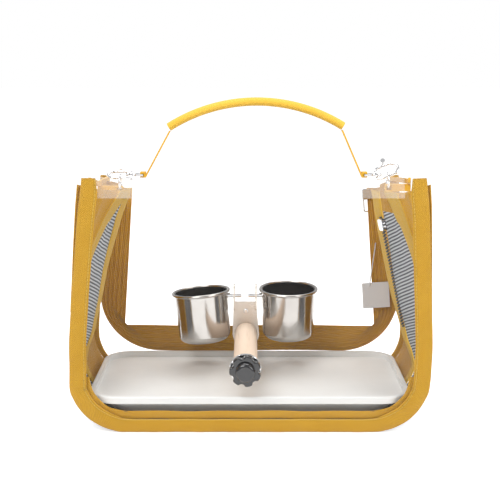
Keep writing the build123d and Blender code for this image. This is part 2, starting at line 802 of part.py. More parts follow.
save("front_trim", front_trim())
save("front_window", front_window())
save("front_hem", front_hem())
save("back_trim", back_trim())
save("ribbed_band", ribbed_band())
save("back_film", back_film())
save("back_door", back_door())
save("floor_pan", floor_pan())
save("top_cover", top_cover())
for name, side in SIDES.items():
    save(f"side_mesh_{name}", side_mesh(side))
    save(f"side_strip_{name}", side_strip(side))
    save(f"front_gusset_{name}", front_gusset(side))
    save(f"zip_tape_{name}", zip_tape(side))
    save(f"rear_gusset_{name}", rear_gusset(side))
    save(f"side_strap_{name}", side_strap(name))
    save(f"ring_tab_{name}", ring_tab(name))
    save(f"ring_{name}", ring(name))
    save(f"hook_body_{name}", hook_body(name))
    save(f"hook_gate_{name}", hook_gate(name))
    save(f"swivel_eye_{name}", swivel_eye(name))
    save(f"handle_strap_{name}", handle_strap(name))
    save(f"cup_{name}", cup(name))
    save(f"cup_stud_{name}", cup_stud(name))
save("grip", grip())
save("side_zip_teeth", zip_teeth())
save("side_zip_slider", zip_slider())
save("tray", tray())
save("perch", perch())
save("perch_screw", perch_screw())
save("perch_washer", perch_washer())
save("star_knob", star_knob())
save("cup_bracket", cup_bracket())
save("bracket_rivet", bracket_rivet())
save("care_label", care_label())
save("label_string", label_string())
save("back_zip_slider", pull_slider())
save("back_pull_ring", pull_ring())
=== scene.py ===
import math
import bpy
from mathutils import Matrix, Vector


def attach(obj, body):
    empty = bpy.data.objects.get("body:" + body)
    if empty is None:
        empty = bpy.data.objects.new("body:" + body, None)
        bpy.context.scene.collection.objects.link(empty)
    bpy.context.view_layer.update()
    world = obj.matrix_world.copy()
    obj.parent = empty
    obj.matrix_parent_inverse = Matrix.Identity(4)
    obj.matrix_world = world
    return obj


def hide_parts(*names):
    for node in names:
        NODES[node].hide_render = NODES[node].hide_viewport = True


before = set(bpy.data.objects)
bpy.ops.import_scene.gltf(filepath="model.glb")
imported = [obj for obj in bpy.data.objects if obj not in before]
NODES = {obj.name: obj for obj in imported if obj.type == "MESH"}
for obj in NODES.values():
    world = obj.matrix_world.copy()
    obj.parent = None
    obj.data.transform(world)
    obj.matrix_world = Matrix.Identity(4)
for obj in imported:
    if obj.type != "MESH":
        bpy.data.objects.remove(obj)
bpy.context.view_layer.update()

scene = bpy.context.scene
SIDES = {"left": -1, "right": 1}
MM = 0.001

# ---------------------------------------------------------------- camera, light, floor

camera_data = bpy.data.cameras.new("camera")
camera_data.lens = 75.6
camera_data.sensor_width = 36
camera = bpy.data.objects.new("camera", camera_data)
camera.location = (0.0005, -1.061, 0.367)
camera.rotation_euler = (math.radians(79.2), 0, 0)
scene.collection.objects.link(camera)
scene.camera = camera
scene.view_settings.view_transform = "Standard"


def area_light(name, place, target, size, power):
    data = bpy.data.lights.new(name, "AREA")
    data.shape = "RECTANGLE"
    data.size, data.size_y = size
    data.energy = power
    light = bpy.data.objects.new(name, data)
    light.location = place
    aim = Vector(target) - Vector(place)
    light.rotation_euler = aim.to_track_quat("-Z", "Y").to_euler()
    scene.collection.objects.link(light)


area_light("key", (-0.55, -0.9, 1.25), (0, 0, 0.12), (0.8, 0.6), 11.5)
area_light("fill", (1.0, -0.75, 0.7), (0, 0, 0.12), (0.8, 0.8), 5.5)
area_light("top", (0.1, 0.45, 1.35), (0, 0, 0.1), (1.0, 0.7), 8.5)


# ---------------------------------------------------------------- node helper

class Graph:
    """Short forms for the shader nodes that the materials below use."""

    def __init__(self, name):
        self.mat = bpy.data.materials.new(name)
        self.mat.use_nodes = True
        self.tree = self.mat.node_tree
        self.bsdf = self.tree.nodes["Principled BSDF"]

    def node(self, kind, **values):
        made = self.tree.nodes.new(kind)
        for key, value in values.items():
            setattr(made, key, value)
        return made

    def link(self, source, socket):
        self.tree.links.new(source, socket)

    def feed(self, socket, value):
        if isinstance(value, bpy.types.NodeSocket):
            self.link(value, socket)
        else:
            socket.default_value = value

    def math(self, operation, a, b=0.0, c=0.0):
        made = self.node("ShaderNodeMath", operation=operation)
        for socket, value in zip(made.inputs, (a, b, c)):
            self.feed(socket, value)
        return made.outputs[0]

    def uv(self):
        split = self.node("ShaderNodeSeparateXYZ")
        self.link(self.node("ShaderNodeTexCoord").outputs["UV"], split.inputs[0])
        return split.outputs[0], split.outputs[1]

    def noise(self, scale, detail=3.0, rough=0.55, stretch=(1, 1, 1), coords="Object"):
        place = self.node("ShaderNodeMapping")
        place.inputs["Scale"].default_value = stretch
        self.link(self.node("ShaderNodeTexCoord").outputs[coords], place.inputs["Vector"])
        made = self.node("ShaderNodeTexNoise")
        made.inputs["Scale"].default_value = scale
        made.inputs["Detail"].default_value = detail
        made.inputs["Roughness"].default_value = rough
        self.link(place.outputs[0], made.inputs["Vector"])
        return made.outputs["Fac"]

    def ramp(self, fac, low, high, a=0.0, b=1.0):
        made = self.node("ShaderNodeMapRange")
        made.clamp = True
        for key, value in (("Value", fac), ("From Min", low), ("From Max", high),
                           ("To Min", a), ("To Max", b)):
            self.feed(made.inputs[key], value)
        return made.outputs[0]

    def mix(self, fac, a, b, blend="MIX"):
        made = self.node("ShaderNodeMix", data_type="RGBA", blend_type=blend)
        self.feed(made.inputs[0], fac)
        for socket, value in ((made.inputs[6], a), (made.inputs[7], b)):
            if not isinstance(value, bpy.types.NodeSocket):
                value = (*value, 1.0)
            self.feed(socket, value)
        return made.outputs[2]

    def bump(self, height, distance, strength=1.0, before=None):
        made = self.node("ShaderNodeBump")
        made.inputs["Strength"].default_value = strength
        made.inputs["Distance"].default_value = distance
        self.link(height, made.inputs["Height"])
        if before is not None:
            self.link(before, made.inputs["Normal"])
        return made.outputs[0]

    def set(self, **values):
        names = {"color": "Base Color", "rough": "Roughness", "metal": "Metallic",
                 "normal": "Normal", "alpha": "Alpha", "sheen": "Sheen Weight",
                 "sheen_rough": "Sheen Roughness", "coat": "Coat Weight", "ior": "IOR",
                 "coat_rough": "Coat Roughness", "specular": "Specular IOR Level",
                 "subsurface": "Subsurface Weight", "transmission": "Transmission Weight",
                 "anisotropic": "Anisotropic"}
        for key, value in values.items():
            if isinstance(value, tuple) and len(value) == 3:
                value = (*value, 1.0)
            self.feed(self.bsdf.inputs[names[key]], value)
        return self.mat


# ---------------------------------------------------------------- materials

YELLOW = (0.80, 0.46, 0.045)
YELLOW_DEEP = (0.60, 0.29, 0.018)
YELLOW_PALE = (0.88, 0.57, 0.09)


def cloth(name, base=YELLOW, deep=YELLOW_DEEP, pitch=0.0021, slope=1.0, depth=0.00025,
          stitches=()):
    """Twill: slanting ridges crossed by fine yarns, worn patches, and rows of stitches. Colour darkens
    in the twill valleys and along the stitch grooves as painted shade.
    UVs are metres along and across the cloth."""
    g = Graph(name)
    u, v = g.uv()
    slant = g.math("MULTIPLY_ADD", v, slope, u)
    ridge = g.math("SINE", g.math("MULTIPLY", slant, 2 * math.pi / pitch))
    yarn = g.math("SINE", g.math("MULTIPLY", g.math("MULTIPLY_ADD", v, -1.6, u),
                                 2 * math.pi / (pitch * 0.37)))
    weave = g.math("MULTIPLY_ADD", yarn, 0.35, ridge)
    patches = g.noise(24.0, 4.0)
    fluff = g.noise(900.0, 2.0)
    # The weave term darkens the colour in the twill valleys: painted shade.
    tint = g.math("MULTIPLY_ADD", weave, 0.13, g.math("MULTIPLY_ADD", fluff, 0.5, 0.2))
    tint = g.math("MULTIPLY_ADD", patches, 0.5, g.math("SUBTRACT", tint, 0.1))
    color = g.mix(g.ramp(tint, 0.15, 0.95), deep, base)
    height = g.math("MULTIPLY_ADD", fluff, 0.6, weave)
    for place in stitches:
        away = g.math("ABSOLUTE", g.math("SUBTRACT", v, place))
        dash = g.math("FRACT", g.math("DIVIDE", u, 0.0034))
        near = g.ramp(away, 0.0003, 0.0006, 1.0, 0.0)
        on = g.ramp(g.math("ABSOLUTE", g.math("SUBTRACT", dash, 0.5)), 0.36, 0.44, 1.0, 0.0)
        thread = g.math("MULTIPLY", near, on)
        groove = g.ramp(away, 0.0004, 0.0013, 1.0, 0.0)
        # Darker colour along the stitch groove is painted shade.
        color = g.mix(g.math("MULTIPLY", groove, 0.35), color, deep)
        color = g.mix(thread, color, YELLOW_PALE)
        height = g.math("MULTIPLY_ADD", groove, -3.0, height)
        height = g.math("MULTIPLY_ADD", thread, 4.0, height)
    return g.set(color=color, rough=0.86, sheen=0.25, sheen_rough=0.4, specular=0.25,
                 normal=g.bump(height, depth))


def ribbed_cloth(name):
    """Heavy webbing: broad ribs along it, each a row of fine slanting yarns."""
    g = Graph(name)
    u, v = g.uv()
    rib = g.math("SINE", g.math("MULTIPLY", v, 2 * math.pi / 0.0024))
    yarn = g.math("SINE", g.math("MULTIPLY", g.math("MULTIPLY_ADD", v, 0.7, u),
                                 2 * math.pi / 0.0012))
    patches = g.noise(20.0, 4.0)
    fluff = g.noise(800.0, 2.0)
    # The rib and yarn terms darken the colour in their valleys: painted shade.
    tint = g.math("MULTIPLY_ADD", rib, 0.2, g.math("MULTIPLY_ADD", yarn, 0.08, patches))
    color = g.mix(g.ramp(tint, 0.15, 0.85), (0.50, 0.225, 0.012), (0.70, 0.37, 0.028))
    height = g.math("MULTIPLY_ADD", yarn, 0.3, g.math("MULTIPLY_ADD", fluff, 0.5, rib))
    return g.set(color=color, rough=0.85, sheen=0.2, sheen_rough=0.4, specular=0.25,
                 normal=g.bump(height, 0.0003))


def mesh_cloth(name):
    """Grey ribbed mesh: pale slanting yarns over darker ground, slightly open."""
    g = Graph(name)
    u, v = g.uv()
    slant = g.math("MULTIPLY_ADD", v, 0.35, u)
    row = g.math("SINE", g.math("MULTIPLY", slant, 2 * math.pi / 0.0030))
    thread = g.math("SINE", g.math("MULTIPLY", v, 2 * math.pi / 0.0009))
    fluff = g.noise(1200.0, 2.0)
    tone = g.math("MULTIPLY_ADD", thread, 0.12, g.math("MULTIPLY_ADD", fluff, 0.3, row))
    color = g.mix(g.ramp(tone, -0.7, 0.9), (0.10, 0.105, 0.12), (0.62, 0.64, 0.67))
    return g.set(color=color, rough=0.7, specular=0.35,
                 normal=g.bump(g.math("MULTIPLY_ADD", thread, 0.2, row), 0.0004))


def film(name, alpha, rough=0.06, tint=(0.93, 0.95, 0.97)):
    """Clear soft film with faint ripples and a fine haze."""
    g = Graph(name)
    ripple = g.noise(9.0, 2.0, stretch=(1, 1, 0.6))
    haze = g.noise(60.0, 3.0)
    return g.set(color=tint, rough=g.ramp(haze, 0.3, 0.8, rough, rough + 0.08), specular=0.5,
                 alpha=g.ramp(ripple, 0.3, 0.7, alpha * 0.7, alpha * 1.3),
                 normal=g.bump(ripple, 0.004, 0.6))


def steel(name, color=(0.62, 0.60, 0.58), rough=0.16, grain=(1, 1, 60), fine=70.0):
    """Polished or brushed steel: faint grain, smears, small dents."""
    g = Graph(name)
    lines = g.noise(fine, 4.0, 0.6, grain)
    smear = g.noise(26.0, 4.0)
    dents = g.noise(45.0, 1.0)
    shade = g.mix(g.ramp(smear, 0.35, 0.75), color, tuple(c * 0.86 for c in color))
    level = g.math("MULTIPLY_ADD", lines, 0.10, g.ramp(smear, 0.3, 0.8, rough - 0.04, rough + 0.05))
    bumps = g.bump(dents, 0.0007, 0.35)
    return g.set(color=shade, metal=1.0, rough=g.math("SUBTRACT", level, 0.05),
                 normal=g.bump(lines, 0.00004, 0.5, bumps))


def wood(name):
    """Pale bare dowel: long grain, faint pores and pink streaks."""
    g = Graph(name)
    grain = g.noise(55.0, 5.0, 0.6, (1.0, 0.05, 1.0))
    streak = g.noise(14.0, 2.0, 0.5, (1.0, 0.12, 1.0))
    pores = g.noise(420.0, 2.0, 0.5, (1.0, 0.04, 1.0))
    color = g.mix(g.ramp(streak, 0.35, 0.7), (0.86, 0.72, 0.58), (0.78, 0.58, 0.44))
    color = g.mix(g.ramp(grain, 0.45, 0.72, 0.0, 0.5), color, (0.62, 0.43, 0.28))
    color = g.mix(g.ramp(pores, 0.62, 0.75, 0.0, 0.35), color, (0.42, 0.28, 0.18))
    return g.set(color=color, rough=g.ramp(grain, 0.3, 0.8, 0.5, 0.68), specular=0.35,
                 normal=g.bump(g.math("MULTIPLY_ADD", pores, 0.5, grain), 0.0002, 0.6))


def plastic(name, color, rough, speckle=0.0, coat=0.0, flow=0.0):
    """Moulded plastic: fine skin texture, faint cloudiness."""
    g = Graph(name)
    skin = g.noise(700.0, 2.0)
    cloud = g.noise(18.0, 3.0)
    dark = tuple(c * (1 - 0.07 - speckle) for c in color)
    return g.set(color=g.mix(g.ramp(cloud, 0.3, 0.75), color, dark), coat=coat,
                 rough=g.ramp(cloud, 0.3, 0.8, rough, rough + 0.07 + flow),
                 normal=g.bump(skin, 0.00006, 0.5))


M = {
    "trim": cloth("trim_twill", stitches=(0.0062,)),
    "strip": cloth("strip_twill", base=(0.86, 0.54, 0.07), deep=YELLOW, stitches=(-0.0052, 0.0052)),
    "side": cloth("side_cloth", base=(0.76, 0.42, 0.035), pitch=0.0012, depth=0.00012),
    # rear: the side cloth made darker, painted shade on the rear slopes of the side pleats and on the
    # rear floor.
    "rear": cloth("rear_cloth_painted_shade", base=(0.66, 0.35, 0.03), deep=(0.46, 0.21, 0.015), pitch=0.0012,
                  depth=0.00012),
    "strap": cloth("strap_twill", base=(0.84, 0.50, 0.05), pitch=0.0016, stitches=(-0.0026, 0.0026)),
    "grip": cloth("grip_cloth", base=(0.87, 0.56, 0.08), deep=(0.74, 0.41, 0.035), pitch=0.0013,
                  depth=0.00010),
    "rib": ribbed_cloth("ribbed_webbing"),
    "mesh": mesh_cloth("grey_mesh"),
    "film": film("clear_film", 0.014),
    "hem": film("doubled_film", 0.15, 0.22, (0.95, 0.93, 0.93)),
    "cover": film("cover_film", 0.035, 0.08),
    "cup": steel("cup_steel", (0.50, 0.475, 0.45), 0.15),
    "plate": steel("bracket_steel", (0.62, 0.56, 0.50), 0.30),
    "chrome": steel("plated_metal", (0.80, 0.80, 0.81), 0.10, (1, 1, 1), 200.0),
    "wood": wood("perch_wood"),
    "tray": plastic("tray_plastic", (0.78, 0.78, 0.765), 0.38),
    "black": plastic("knob_plastic", (0.012, 0.012, 0.014), 0.10, coat=0.6),
    "zip": plastic("zip_plastic", (0.10, 0.095, 0.09), 0.35),
    "label": plastic("label_tape", (0.66, 0.66, 0.67), 0.55),
    "nylon": plastic("nylon", (0.62, 0.63, 0.64), 0.25),
}


# ---------------------------------------------------------------- mesh helpers

def table(points, x):
    """Straight-line interpolation in a table of (x, value), held at its ends."""
    if x <= points[0][0]:
        return points[0][1]
    for (x0, v0), (x1, v1) in zip(points, points[1:]):
        if x <= x1:
            return v0 + (v1 - v0) * (x - x0) / (x1 - x0)
    return points[-1][1]


def ease(x):
    x = min(max(x, 0.0), 1.0)
    return x * x * (3 - 2 * x)


def smooth_path(points, per_span=8):
    """Catmull-Rom curve through the points."""
    pts = [Vector(p) for p in points]
    pts = [2 * pts[0] - pts[1], *pts, 2 * pts[-1] - pts[-2]]
    out = []
    for a, b, c, d in zip(pts, pts[1:], pts[2:], pts[3:]):
        for i in range(per_span):
            t = i / per_span
            out.append(0.5 * (2 * b + (c - a) * t + (2 * a - 5 * b + 4 * c - d) * t * t
                              + (3 * b - a - 3 * c + d) * t * t * t))
    out.append(pts[-2])
    return out


def even(points, count):
    """The same line with count points at equal steps."""
    runs = [0.0]
    for a, b in zip(points, points[1:]):
        runs.append(runs[-1] + (b - a).length)
    out, k = [], 0
    for i in range(count):
        want = runs[-1] * i / (count - 1)
        while k < len(runs) - 2 and runs[k + 1] < want:
            k += 1
        share = (want - runs[k]) / max(runs[k + 1] - runs[k], 1e-9)
        out.append(points[k].lerp(points[k + 1], min(max(share, 0), 1)))
    return out


def add(name, verts, faces, uvs, material, body="bag", smooth=True):
    """A mesh object in millimetres with UVs in metres, riding on a body."""
    mesh = bpy.data.meshes.new(name)
    mesh.from_pydata([tuple(c * MM for c in v) for v in verts], [], faces)
    layer = mesh.uv_layers.new(name="cloth")
    for loop in mesh.loops:
        u, v = uvs[loop.vertex_index]
        layer.data[loop.index].uv = (u * MM, v * MM)
    for face in mesh.polygons:
        face.use_smooth = smooth
    mesh.materials.append(material)
    obj = bpy.data.objects.new(name, mesh)
    scene.collection.objects.link(obj)
    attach(obj, body)
    return obj


def sheet(name, rows, material, thick=1.0, body="bag", uvs=None, offset=0.0, levels=0):
    """Cloth or film from rows of points. A modifier thickens it, unless thick is 0."""
    high, wide = len(rows), len(rows[0])
    verts = [p for row in rows for p in row]
    faces = [(i * wide + j, i * wide + j + 1, (i + 1) * wide + j + 1, (i + 1) * wide + j)
             for i in range(high - 1) for j in range(wide - 1)]
    if uvs is None:
        uvs = []
        up = 0.0
        for i, row in enumerate(rows):
            if i:
                mid = wide // 2
                up += (Vector(row[mid]) - Vector(rows[i - 1][mid])).length
            across = 0.0
            for j, p in enumerate(row):
                if j:
                    across += (Vector(p) - Vector(row[j - 1])).length
                uvs.append((up, across))
    obj = add(name, verts, faces, uvs, material, body)
    if not thick:
        return obj
    solid = obj.modifiers.new("thickness", "SOLIDIFY")
    solid.thickness = thick * MM
    solid.offset = offset
    if levels:
        smooth = obj.modifiers.new("smooth", "SUBSURF")
        smooth.levels = smooth.render_levels = levels
    return obj


def rounded_section(half, thick, steps=3, power=3.0):
    """Points (across, out) round a flat band with soft edges and a crowned face."""
    pts = []
    count = 8 * steps
    for i in range(count):
        a = 2 * math.pi * i / count
        c, s = math.cos(a), math.sin(a)
        x = math.copysign(abs(c) ** (2 / power), c)
        y = math.copysign(abs(s) ** (2 / power), s)
        pts.append((x * half, y * thick / 2))
    return pts


def band(name, path, across, halves, thicks, material, body="bag", steps=3, power=3.4,
         bulge=None):
    """A padded strip swept along a path. across gives its width direction at each point."""
    verts, uvs, faces = [], [], []
    count = len(path)
    run = 0.0
    for i, p in enumerate(path):
        p = Vector(p)
        if i:
            run += (p - Vector(path[i - 1])).length
        ahead = Vector(path[min(i + 1, count - 1)]) - Vector(path[max(i - 1, 0)])
        side = Vector(across[i]).normalized()
        side = (side - ahead.normalized() * side.dot(ahead.normalized())).normalized()
        out = ahead.cross(side).normalized()
        section = rounded_section(halves[i], thicks[i], steps, power)
        ring = len(section)
        for a, b in section:
            lift = bulge(run, a) if bulge else 0.0
            verts.append(tuple(p + side * a + out * (b + lift)))
            uvs.append((run, a))
    for i in range(count - 1):
        for j in range(ring):
            k = (j + 1) % ring
            faces.append((i * ring + j, i * ring + k, (i + 1) * ring + k, (i + 1) * ring + j))
    faces.append(tuple(reversed(range(ring))))
    faces.append(tuple(range((count - 1) * ring, count * ring)))
    return add(name, verts, faces, uvs, material, body)


def stands_for(obj, slot, *nodes):
    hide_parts(*nodes)
    return obj


# ---------------------------------------------------------------- the bag's outline

CORNER = 56.0
FRONT_Y, BACK_Y = -84.0, 84.0
OUTER = {   # height against half width of the front face, both sides
    "left": [(40, 0), (66, -1.0), (90, 0.4), (129, 0.1), (176, -1.0), (214, -2.2), (238, -3.8),
             (250, -4.4)],
    "right": [(40, 0), (66, 1.0), (90, 3.0), (129, 3.9), (176, 4.8), (214, 5.6), (238, 4.8),
              (250, 4.0)],
}
CREASE = {
    "left": [(40, 0), (60, 4), (80, 11), (114, 16), (143, 20), (201, 32), (224, 40)],
    "right": [(40, 0), (60, 8), (72, 13), (113, 23), (150, 30), (199, 37), (224, 40)],
}
CREASE_Y = 8.0


def half_width(z):
    return 180.0 - 0.074 * z


def outline(q):
    """Lower corner for q in 0..1, then up the side: q - 1 is the height above it in metres / 10."""
    if q < 1:
        angle = math.radians(-90 + 88 * max(q, 0))
        centre = half_width(CORNER) - CORNER + 0.2
        return centre + CORNER * math.cos(angle), CORNER + CORNER * math.sin(angle)
    z = CORNER - 2 + (q - 1) * 100
    return half_width(z), z


def wall_point(side, y, z, x=None):
    """A point of the side cloth before its folds: outline, less the pull of the handle."""
    name = "left" if side < 0 else "right"
    base = half_width(z) if x is None else x
    back = (y - FRONT_Y) / (BACK_Y - FRONT_Y)
    base += table(OUTER[name], z) * (1 - back) * (1 if z > 40 else 0)
    if y <= CREASE_Y:
        share = (y - FRONT_Y) / (CREASE_Y - FRONT_Y)
    else:
        share = (BACK_Y - y) / (BACK_Y - CREASE_Y)
    share = share ** 1.15
    return side * (base - table(CREASE[name], z) * share)


# ---------------------------------------------------------------- front binding

def trim_outline(name):
    """Middle line of the binding's outer edge, from the top down to the bottom middle."""
    side = SIDES[name]
    pts = []
    for z in (250, 238, 214, 176, 129, 90, 66):
        pts.append((side * (half_width(z) + table(OUTER[name], z)), z))
    for i in range(1, 9):
        x, z = outline(1 - i / 8)
        pts.append((side * x, z))
    pts.append((side * 60, 0.0))
    return [(x, 0, z) for x, z in pts]


def front_binding():
    left = trim_outline("left")
    right = trim_outline("right")
    line = smooth_path(left + right[::-1], 8)
    line = even(line, 260)
    path, across, halves, thicks = [], [], [], []
    for i, p in enumerate(line):
        ahead = (line[min(i + 1, 259)] - line[max(i - 1, 0)]).normalized()
        inward = Vector((-ahead.z, 0, ahead.x))
        if inward.dot(Vector((0, 0, 110)) - p) < 0:
            inward = -inward
        low = ease((30 - p.z) / 30) * ease((150 - abs(p.x)) / 40)
        half = 8.3 - 1.9 * low
        sway = 0.35 * math.sin(i * 0.31) + 0.25 * math.sin(i * 0.13 + 1.0)
        end = min(i, 259 - i)
        if end < 5:
            half *= 0.80 + 0.04 * end
        path.append(tuple(p + inward * (half + 0.1) + Vector((0, -86.0 + 0.25 * sway, 0))))
        across.append(tuple(inward))
        halves.append(half)
        thicks.append(3.9 - (0.9 - 0.18 * end if end < 5 else 0))

    def bulge(run, a):
        return 0.18 * math.sin(run * 0.16 + a * 0.4) + 0.12 * math.sin(run * 0.41)
    obj = band("front_binding", path, across, halves, thicks, M["trim"], steps=4, bulge=bulge)
    return stands_for(obj, "yellow_cloth", "front_trim")


front_binding()


def inner_facing():
    """Folded cloth edge just behind the binding along the bottom, seen through the film."""
    path, across, halves = [], [], []
    for i in range(121):
        t = -1 + 2 * i / 120
        side = -1 if t < 0 else 1
        q = 1 - (abs(t) - 0.45) / 0.55 if abs(t) > 0.45 else None
        if q is None:
            x, z = abs(t) / 0.45 * 121.6, 0.0
            inward = Vector((0, 0, 1))
        else:
            x, z = outline(1 - q * 1.0) if q < 1 else (121.6, 0.0)
            centre = Vector((half_width(CORNER) - CORNER, 0, CORNER))
            inward = (centre - Vector((x, 0, z))).normalized()
        inward = Vector((side * inward.x, 0, inward.z))
        wobble = 0.5 * math.sin(i * 0.5) + 0.4 * math.sin(i * 0.23)
        path.append(tuple(Vector((side * x, -82.4, z)) + inward * (16.2 + wobble * 0.5)))
        across.append(tuple(inward))
        halves.append(4.2)
    obj = band("inner_facing", path, across, halves, [1.6] * 121, M["trim"], steps=2)


inner_facing()


# ---------------------------------------------------------------- side walls

STRIP_LOW, STRIP_START, WALL_TOP = 97.0, 122.0, 226.0


def slant(z, top_y, low_z):
    share = (z - low_z) / (WALL_TOP - low_z)
    return FRONT_Y + 1 + (top_y - FRONT_Y - 1) * max(share, 0)


EDGE = {    # front and back edge of the bright strip at the wall's top, per side
    "left": (-15.0, 4.0), "right": (-36.0, -14.0),
}


def strip_front(name, z):
    return slant(z, EDGE[name][0], STRIP_START - 6)


def strip_back(name, z):
    return slant(z, EDGE[name][1], STRIP_LOW)


def fold(depth, s, waves, phase=0.0, sharp=1.0):
    """Rounded pleats: sharp above 1 narrows the creases."""
    wave = 0.5 - 0.5 * math.cos(2 * math.pi * (s * waves + phase))
    return depth * (wave ** sharp)


def wall_rows(name, y_low, y_high, z_low, z_high, rise, wide, lift, from_corner=False):
    """Grid of wall points between two edges that are functions of z."""
    side = SIDES[name]
    rows = []
    levels = [z_low + (z_high - z_low) * i / rise for i in range(rise + 1)]
    corner = [i / 12 for i in range(12)] if from_corner else []
    for q in corner:
        x, z = outline(q)
        a, b = y_low(z_low), y_high(z_low)
        rows.append([(wall_point(side, a + (b - a) * j / wide, z, x) + side * lift(z_low, j / wide)
                      * ease(q), a + (b - a) * j / wide, z) for j in range(wide + 1)])
    for z in levels:
        a, b = y_low(z), y_high(z)
        row = []
        for j in range(wide + 1):
            y = a + (b - a) * j / wide
            row.append((wall_point(side, y, z) + side * lift(z, j / wide), y, z))
        rows.append(row)
    return rows


def top_edge(rows, drop):
    """Lets the last row's height follow the front corner up."""
    for i, row in enumerate(rows):
        share = i / (len(rows) - 1)
        for j, p in enumerate(row):
            s = j / (len(row) - 1)
            row[j] = (p[0], p[1], p[2] + drop(s) * share ** 2)
    return rows


def side_walls(name):
    tape_front = -3.0 if name == "left" else -3.0

    def gusset_lift(z, s):
        high = ease((z - 110) / 100)
        wide = 0.6 + 2.9 * high
        return (-fold(wide, s, 2.2, 0.12, 1.6) + 0.5 * wide
                - 0.8 * math.sin(z * 0.05 + 3 * s) * s * (1 - s) * 4 * 0.5)
    rows = wall_rows(name, lambda z: FRONT_Y + 0.6, lambda z: strip_front(name, z) + 1.0,
                     STRIP_START - 2, 229, 44, 40, gusset_lift)
    rows = top_edge(rows, lambda s: 14 * (1 - s) ** 1.5)
    obj = sheet(f"front_fold_{name}", rows, M["side"], 0.9)
    stands_for(obj, "yellow_cloth", f"front_gusset_{name}")

    def strip_lift(z, s):
        return -1.1 + 0.6 * math.sin(z * 0.045) + 0.5 * math.cos(2 * math.pi * s) * 0.4
    rows = wall_rows(name, lambda z: strip_front(name, z), lambda z: strip_back(name, z),
                     STRIP_LOW + 1, 228, 50, 10, strip_lift)
    obj = sheet(f"bright_strip_{name}", rows, M["strip"], 1.5)
    stands_for(obj, "yellow_cloth", f"side_strip_{name}")

    def mesh_lift(z, s):
        return 0.5 * math.sin(z * 0.06 + s * 4) - fold(0.9, s, 1.5, 0.3)
    rows = wall_rows(name, lambda z: FRONT_Y + 0.6 if z < STRIP_LOW + 6 else strip_back(name, z) - 3,
                     lambda z: max(tape_front - 3.6 if name == "right" else tape_front,
                                   strip_back(name, z) - 1),
                     60, 206 if name == "right" else 226, 44, 24, mesh_lift, True)
    obj = sheet(f"mesh_panel_{name}", rows, M["mesh"], 0.8)
    stands_for(obj, "grey_mesh", f"side_mesh_{name}")

    def tape_lift(z, s):
        return -1.8 * math.sin(math.pi * s) + 0.3 * math.sin(z * 0.09)
    rows = wall_rows(name, lambda z: tape_front, lambda z: CREASE_Y + 1.5, 60, 226, 44, 10,
                     tape_lift, True)
    obj = sheet(f"crease_tape_{name}", rows, M["strip"], 1.6)
    stands_for(obj, "yellow_cloth", f"zip_tape_{name}")

    def rear_lift(z, s):
        high = ease((z - 60) / 150)
        wave = math.sin(2 * math.pi * (s * 1.55 + 0.05)) * math.sin(math.pi * s) ** 0.5
        return (1.0 + 3.4 * high) * wave - fold(1.2 * high, s, 4.0, 0.2, 2.0)
    rows = wall_rows(name, lambda z: CREASE_Y, lambda z: BACK_Y - 0.6, 60, 227, 44, 44, rear_lift, True)
    rows = top_edge(rows, lambda s: 5 * s ** 2)
    obj = sheet(f"rear_fold_{name}", rows, M["rear"], 0.9)
    stands_for(obj, "yellow_cloth", f"rear_gusset_{name}")


for side_name in SIDES:
    side_walls(side_name)


def floor_cloth():
    """Mesh floor under the tray with a cloth strip across its middle."""
    edge = outline(0)[0] + 0.5
    for piece, y_low, y_high, mat in (("floor_mesh", FRONT_Y + 0.6, -3.0, M["mesh"]),
                                      ("floor_strip", -3.0, 9.5, M["strip"]),
                                      ("floor_rear", 9.0, BACK_Y - 0.6, M["rear"])):
        rows = []
        for i in range(41):
            x = -edge + 2 * edge * i / 40
            row = []
            for j in range(13):
                y = y_low + (y_high - y_low) * j / 12
                row.append((x, y, 0.7 + 0.25 * math.sin(x * 0.09) * math.sin(y * 0.11)))
            rows.append(row)
        obj = sheet(piece, rows, mat, 1.0)
        if piece == "floor_mesh":
            stands_for(obj, "grey_mesh", "floor_pan")


floor_cloth()


# ---------------------------------------------------------------- back

BAND_INSET, BAND_WIDTH, BAND_TOP, BAND_BASE = 6.0, 29.0, 218.0, 33.0


def band_line(inset, legs=24, turn=16, run=30):
    """One line of the ribbed webbing, inset from its outer edge."""
    radius = 70 + (4 - 70) * inset / BAND_WIDTH
    base = BAND_BASE + inset
    lean = 0.074
    side = []
    low_x = half_width(base + radius) - BAND_INSET - inset
    for i in range(legs):
        z = BAND_TOP + (base + radius - BAND_TOP) * i / legs
        side.append((half_width(z) - BAND_INSET - inset, z))
    for i in range(turn + 1):
        a = math.pi / 2 * i / turn
        side.append((low_x - radius + radius * math.cos(a) + lean * radius * math.sin(a) * 0.9,
                     base + radius - radius * math.sin(a)))
    for i in range(1, run):
        side.append((side[legs + turn][0] * (1 - i / run), base))
    return [(-x, z) for x, z in side] + [(0, base)] + [(x, z) for x, z in reversed(side)]


def ribbed_webbing():
    cols = 48
    lines = [band_line(BAND_WIDTH * k / cols) for k in range(cols + 1)]
    rows = []
    for i in range(len(lines[0])):
        row = []
        for k in range(cols + 1):
            x, z = lines[k][i]
            rib = abs(math.sin(math.pi * 6 * k / cols)) ** 0.6
            sway = 0.5 * math.sin(x * 0.03 + z * 0.02)
            row.append((x, 84.3 + 0.9 * rib + 0.2 * sway, z + 0.6 * math.sin(x * 0.035) * (z < 70)))
        rows.append(row)
    obj = sheet("ribbed_webbing", rows, M["rib"], 0.9)
    return stands_for(obj, "yellow_cloth", "ribbed_band")


ribbed_webbing()


